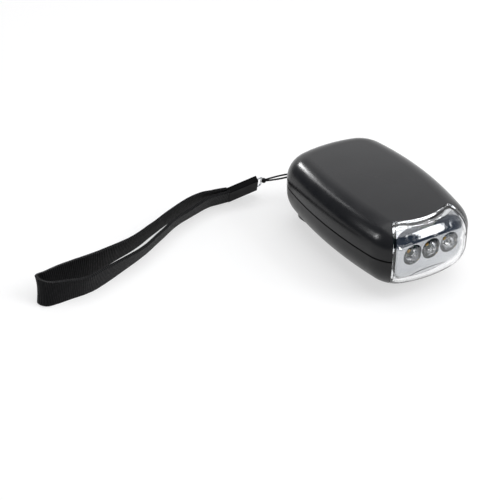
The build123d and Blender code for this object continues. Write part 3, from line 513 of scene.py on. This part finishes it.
def settle_order(bm):
    """Sorts edges and faces, which an extrusion leaves in another order each run."""
    bm.verts.index_update()
    count = len(bm.verts)
    for parts in (bm.edges, bm.faces):
        parts.sort(key=lambda part: min(v.index for v in part.verts) * count
                   + max(v.index for v in part.verts))


# ---- operators

class FLASHLIGHT_OT_stage(bpy.types.Operator):
    """Builds the floor, the lamps, the world and the camera"""
    bl_idname = "flashlight.stage"
    bl_label = "Stage"

    def execute(self, context):
        stage = context.scene.flashlight_stage
        bm = bmesh.new()
        bmesh.ops.create_grid(bm, x_segments=1, y_segments=1, size=FLOOR_HALF_SIZE)
        bmesh.ops.translate(bm, verts=bm.verts, vec=(0.0, 0.0, -FLOOR_DROP))
        new_piece("floor", bm, self.floor_finish(), body=None)
        self.lamp("key_lamp", stage.key_power, KEY_SIZE, KEY_PLACE)
        fill = self.lamp("fill_lamp", stage.fill_power, FILL_SIZE, FILL_PLACE)
        fill.visible_glossy = fill.visible_transmission = False
        for name, power, size, place, target, along in GLINT_LAMPS:
            glint = self.lamp(name, power * stage.glint_power, size, place, target, along)
            glint.visible_diffuse = False
            glint.visible_glossy = name != "cup_lamp"
        self.world(stage.ambient)
        self.camera(context, stage.lens_length)
        context.scene.view_settings.view_transform = "Standard"
        return {"FINISHED"}

    def floor_finish(self):
        """White where it is seen, and mid grey for the light that it throws back."""
        finish = Finish("pale floor").set(
            Roughness=0.9, Emission_Color=(1.0, 1.0, 1.0, 1.0), Emission_Strength=0.62)
        finish.colour(finish.noise(2.0), (0.38, 0.38, 0.383), (0.39, 0.39, 0.393))
        grey = finish.nodes.new("ShaderNodeBsdfDiffuse")
        grey.inputs["Color"].default_value = (0.28, 0.28, 0.28, 1.0)
        split_seen(finish.material.node_tree, grey.outputs["BSDF"],
                   finish.shader.outputs["BSDF"],
                   finish.nodes["Material Output"].inputs["Surface"])
        return finish

    def lamp(self, name, power, size, place, target=(0.0, 0.0, 0.0), along=(1.0, 0.0, 0.0)):
        """A flat lamp that faces its target, with its long side along a direction."""
        data = bpy.data.lights.new(name, "AREA")
        data.shape = "RECTANGLE"
        data.energy, data.size, data.size_y = power, *size
        lamp = bpy.data.objects.new(name, data)
        back = (Vector(place) - Vector(target)).normalized()
        side = (Vector(along) - back * back.dot(Vector(along))).normalized()
        lamp.matrix_world = turned(place, side, back.cross(side), back)
        bpy.context.scene.collection.objects.link(lamp)
        return lamp

    def world(self, ambient):
        """An even light all round, and a backdrop for what sees past the floor."""
        world = bpy.data.worlds.new("studio")
        bpy.context.scene.world = world
        world.use_nodes = True
        nodes, links = world.node_tree.nodes, world.node_tree.links
        light = nodes["Background"]
        light.inputs["Color"].default_value = (0.95, 0.97, 1.0, 1.0)
        light.inputs["Strength"].default_value = ambient
        backdrop = nodes.new("ShaderNodeBackground")
        place = nodes.new("ShaderNodeTexCoord")
        facing = nodes.new("ShaderNodeVectorMath")
        facing.operation = "DOT_PRODUCT"
        facing.inputs[1].default_value = BACKDROP_WHITE_SIDE
        fall = colour_ramp(nodes, BACKDROP_FALL, (SLATE, WHITE))
        links.new(place.outputs["Generated"], facing.inputs[0])
        links.new(facing.outputs["Value"], fall.inputs["Fac"])
        links.new(fall.outputs["Color"], backdrop.inputs["Color"])
        split_seen(world.node_tree, light.outputs["Background"],
                   backdrop.outputs["Background"], nodes["World Output"].inputs["Surface"])

    def camera(self, context, lens):
        azimuth, elevation, roll = map(
            math.radians, (CAMERA_AZIMUTH, CAMERA_ELEVATION, CAMERA_ROLL))
        back = Vector((math.sin(azimuth) * math.cos(elevation),
                       -math.cos(azimuth) * math.cos(elevation), math.sin(elevation)))
        right = Vector((math.cos(azimuth), math.sin(azimuth), 0.0))
        up = back.cross(right)
        right, up = (right * math.cos(roll) + up * math.sin(roll),
                     up * math.cos(roll) - right * math.sin(roll))
        data = bpy.data.cameras.new("camera")
        data.lens, data.sensor_width, data.clip_start = lens, SENSOR_WIDTH_MM, CLIP_START
        camera = bpy.data.objects.new("camera", data)
        camera.matrix_world = turned(CAMERA_PLACE, right, up, back)
        context.scene.collection.objects.link(camera)
        context.scene.camera = camera


class FLASHLIGHT_OT_strap_cord(bpy.types.Operator):
    """Lays the thin cord from its knot round the eye post and back"""
    bl_idname = "flashlight.strap_cord"
    bl_label = "Strap cord"

    def execute(self, context):
        sizes, colours = context.scene.flashlight_strap, context.scene.flashlight_colours
        finish = Finish("braided cord").set(Specular_IOR_Level=0.2)
        finish.colour(finish.noise(1500.0), shade(colours.strap, 0.8), shade(colours.strap, 1.6))
        finish.bump(finish.noise(3000.0), 0.5, 0.00004)
        finish.roughness(finish.noise(900.0), 0.6, 0.85)
        curve = route_curve("cord", CORD_ROUTE)
        curve.bevel_depth = sizes.cord_diameter / 2
        curve.bevel_resolution = 3
        curve.resolution_u = CORD_RESOLUTION
        curve.use_fill_caps = True
        curve.materials.append(finish.material)
        cord = bpy.data.objects.new("cord", curve)
        context.scene.collection.objects.link(cord)
        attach(cord, "root")
        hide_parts("strap_cord")
        dress(finish, "strap_knot")
        return {"FINISHED"}


class FLASHLIGHT_OT_strap_webbing(bpy.types.Operator):
    """Lays the woven band out from the tab and home again, standing on its edge"""
    bl_idname = "flashlight.strap_webbing"
    bl_label = "Strap webbing"

    def execute(self, context):
        sizes, colours = context.scene.flashlight_strap, context.scene.flashlight_colours
        width, thickness = sizes.webbing_width, sizes.webbing_thickness
        points, edges = webbing_route(width, thickness)
        control_shares, _ = shares_along(points)
        line = curve_points(route_curve("webbing_route", points), BAND_RESOLUTION)
        shares, length = shares_along(line)
        directions = directions_along(line, shares, control_shares, edges)
        for place, (ahead, edge) in zip(line, directions):
            rest = (FLOOR_GAP * MM + abs(edge.z) * width / 2
                    + abs(edge.cross(ahead).z) * thickness / 2)
            place.z = max(place.z, rest)
        bm = ribbon(line, directions, shares, length, width)
        band = new_piece("webbing", bm, self.weave(colours.strap, sizes.rib_pitch / width))
        solid = band.modifiers.new("thickness", "SOLIDIFY")
        solid.thickness, solid.offset = thickness, 0.0
        rounded = band.modifiers.new("selvage", "BEVEL")
        rounded.width, rounded.segments = thickness * 0.35, 3
        rounded.limit_method, rounded.angle_limit = "ANGLE", math.radians(60)
        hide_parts("strap_webbing")
        return {"FINISHED"}

    def weave(self, colour, pitch):
        """Black weave with ribs across it, at a pitch in band widths."""
        finish = Finish("ribbed weave")
        ribs = finish.nodes.new("ShaderNodeTexWave")
        ribs.wave_type, ribs.bands_direction, ribs.wave_profile = "BANDS", "Y", "SIN"
        ribs.inputs["Scale"].default_value = 1.0 / (pitch * 3.18)
        ribs.inputs["Distortion"].default_value = 0.6
        ribs.inputs["Detail"].default_value = 1.0
        ribs.inputs["Detail Scale"].default_value = 2.0
        finish.links.new(finish.place.outputs["UV"], ribs.inputs["Vector"])
        finish.colour(ribs.outputs["Fac"], shade(colour, 0.55), shade(colour, 2.4))
        finish.roughness(finish.noise(900.0), 0.62, 0.82)
        finish.bump(ribs.outputs["Fac"], 0.9, 0.00018)
        return finish.set(Sheen_Weight=0.05, Specular_IOR_Level=0.15)


class FLASHLIGHT_OT_strap_fittings(bpy.types.Operator):
    """Finishes the tab and the wire ring"""
    bl_idname = "flashlight.strap_fittings"
    bl_label = "Strap fittings"

    def execute(self, context):
        colours = context.scene.flashlight_colours
        tab = moulded("strap tab", shade(colours.strap, 0.8), 0.5, 0.65,
                      grain=0.00003, grain_scale=1500.0)
        dress(tab.set(Specular_IOR_Level=0.06), "strap_tab")
        dress(metal("ring wire", (0.66, 0.67, 0.69), 0.14, 0.3), "strap_ring")
        return {"FINISHED"}


class FLASHLIGHT_OT_case(bpy.types.Operator):
    """Finishes the shells, the crank arm, the knob, the button and the screws"""
    bl_idname = "flashlight.case"
    bl_label = "Case"

    def execute(self, context):
        colours = context.scene.flashlight_colours
        dress(shell_plastic("upper shell", colours.upper_case, 0.2, 0.26, 0.27), "top_shell")
        dress(shell_plastic("lower shell", colours.lower_case, 0.28, 0.36, 0.26),
              "bottom_shell")
        dress(moulded("crank plastic", shade(colours.lower_case, 0.9), 0.36, 0.48),
              "crank_arm", "knob", "power_button")
        dress(metal("fixings", (0.55, 0.56, 0.58), 0.25, 0.4), "crank_screw", "case_screws",
              "knob_pin", "plate_screws", "shaft_clip", "crank_shaft", "first_axle",
              "second_axle", "rotor_shaft")
        return {"FINISHED"}


class FLASHLIGHT_OT_window(bpy.types.Operator):
    """Finishes the window, the mirror, the diodes and the boards, and adds what they hold"""
    bl_idname = "flashlight.window"
    bl_label = "Window and diodes"

    def execute(self, context):
        colours = context.scene.flashlight_colours
        dress(clear("clear window", (0.985, 0.99, 0.995), 1.49, 0.02), "lens")
        dress(clear("diode dome", (0.99, 0.99, 0.985), 1.5, 0.03),
              "led_left", "led_centre", "led_right")
        dress(self.plating(), "mirror")
        rim_plating = metal("rim plating", (0.8, 0.81, 0.82), 0.03, 0.1)
        self.rim(sparkle(rim_plating, 0.5, 500.0))
        dress(metal("tinned legs", (0.7, 0.7, 0.7), 0.3, 0.45), "led_legs")
        dress(moulded("board laminate", (0.03, 0.14, 0.06), 0.35, 0.5),
              "led_board", "main_board")
        self.dies(colours.diode_phosphor)
        self.lead_frames(sparkle(metal("lead frame", (0.93, 0.93, 0.92), 0.05, 0.15), 0.6))
        return {"FINISHED"}

    def plating(self):
        """Bright plating, smooth on the slope and the face and uneven in the cups."""
        finish = metal("mirror plating", (0.52, 0.53, 0.545), 0.02, 0.07)
        place = finish.coordinates()
        behind = finish.math("LESS_THAN", place["X"], CUP_MOUTH_X)
        below = finish.math("LESS_THAN", place["Z"], CUP_TOP_HEIGHT)
        return sparkle(finish, finish.math("MULTIPLY", behind, below))

    def rim(self, plating):
        """The plated rim that lines the window behind its top strip and its sides."""
        bm = bmesh.new()
        bm.from_mesh(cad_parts["lens"].data)
        bm.normal_update()
        middle = Vector(WINDOW_MIDDLE)
        outside = [face for face in bm.faces
                   if face.normal.dot(face.calc_center_median() - middle) > 0.0
                   or face.normal.x < (RIM_BACK_DOWN if face.normal.z < RIM_DOWN else RIM_BACK)]
        bmesh.ops.delete(bm, geom=outside, context="FACES")
        bmesh.ops.remove_doubles(bm, verts=bm.verts, dist=RIM_MERGE)
        bm.normal_update()
        for vertex in bm.verts:
            vertex.co += vertex.normal * RIM_OFFSET
        new_piece("mirror_rim", bm, plating)

    def dies(self, colour):
        """The small yellow die near the front of each diode."""
        phosphor = Finish("phosphor").set(Roughness=0.5)
        phosphor.colour(phosphor.noise(4000.0), shade(colour, 0.85), colour)
        bm = bmesh.new()
        for x, y, z in LED_PLACES:
            lying_cone(bm, (x - DIE_SETBACK, y, z), DIE_DEPTH, DIE_RADII, 24)
        new_piece("diode_dies", bm, phosphor)

    def lead_frames(self, finish):
        """The two metal posts in each diode and the bright foot around them."""
        bm = bmesh.new()
        for x, y, z in LED_PLACES:
            for side, top, radius in LED_POSTS:
                middle = (x - (POST_FOOT + top) / 2, y + side * POST_ASIDE, z)
                lying_cone(bm, middle, POST_FOOT - top, (POST_RADIUS, radius), 20)
            lying_cone(bm, (x - FOOT_SETBACK, y, z), FOOT_DEPTH, FOOT_RADII, 32)
        new_piece("lead_frames", bm, finish)


class FLASHLIGHT_OT_works(bpy.types.Operator):
    """Finishes the gears, the generator, the cells and the switch"""
    bl_idname = "flashlight.works"
    bl_label = "Works"

    def execute(self, context):
        dress(moulded("gear plastic", (0.8, 0.8, 0.76), 0.35, 0.5), "drive_gear",
              "first_gear", "second_gear", "rotor_pinion", "coil_bobbin")
        dress(moulded("plate plastic", (0.22, 0.22, 0.23), 0.4, 0.55), "gear_plate")
        dress(moulded("switch plastic", (0.03, 0.03, 0.03), 0.4, 0.55),
              "switch_body", "switch_plunger")
        dress(moulded("cell sleeve", (0.03, 0.12, 0.32), 0.2, 0.3), "battery_sleeve")
        dress(metal("cell steel", (0.66, 0.67, 0.68), 0.2, 0.32),
              "battery_cells", "battery_tabs")
        dress(metal("can steel", (0.6, 0.61, 0.63), 0.28, 0.42),
              "generator_can", "generator_cap")
        dress(metal("sintered magnet", (0.16, 0.16, 0.17), 0.45, 0.6), "rotor_magnet")
        dress(metal("copper wire", (0.75, 0.34, 0.16), 0.25, 0.4), "coil_winding")
        dress(metal("bronze bush", (0.66, 0.46, 0.2), 0.3, 0.45), "crank_bush",
              "rotor_lower_bush", "rotor_upper_bush")
        return {"FINISHED"}


class FLASHLIGHT_PT_panel(bpy.types.Panel):
    """Lists the flashlight's operators in the sidebar"""
    bl_idname = "FLASHLIGHT_PT_panel"
    bl_label = "Flashlight"
    bl_space_type = "VIEW_3D"
    bl_region_type = "UI"
    bl_category = "Flashlight"

    def draw(self, context):
        for operator in OPERATORS:
            self.layout.operator(operator.bl_idname)


OPERATORS = [
    FLASHLIGHT_OT_stage,
    FLASHLIGHT_OT_strap_cord,
    FLASHLIGHT_OT_strap_webbing,
    FLASHLIGHT_OT_strap_fittings,
    FLASHLIGHT_OT_case,
    FLASHLIGHT_OT_window,
    FLASHLIGHT_OT_works,
]
CLASSES = [FlashlightStrapSizes, FlashlightColours, FlashlightStage, *OPERATORS,
           FLASHLIGHT_PT_panel]


def register():
    for cls in CLASSES:
        bpy.utils.register_class(cls)
    bpy.types.Scene.flashlight_strap = bpy.props.PointerProperty(type=FlashlightStrapSizes)
    bpy.types.Scene.flashlight_colours = bpy.props.PointerProperty(type=FlashlightColours)
    bpy.types.Scene.flashlight_stage = bpy.props.PointerProperty(type=FlashlightStage)


def unregister():
    del bpy.types.Scene.flashlight_stage
    del bpy.types.Scene.flashlight_colours
    del bpy.types.Scene.flashlight_strap
    for cls in reversed(CLASSES):
        bpy.utils.unregister_class(cls)


def main():
    register()
    bpy.ops.flashlight.stage()
    bpy.ops.flashlight.strap_cord()
    bpy.ops.flashlight.strap_webbing()
    bpy.ops.flashlight.strap_fittings()
    bpy.ops.flashlight.case()
    bpy.ops.flashlight.window()
    bpy.ops.flashlight.works()


if __name__ == "__main__":
    main()
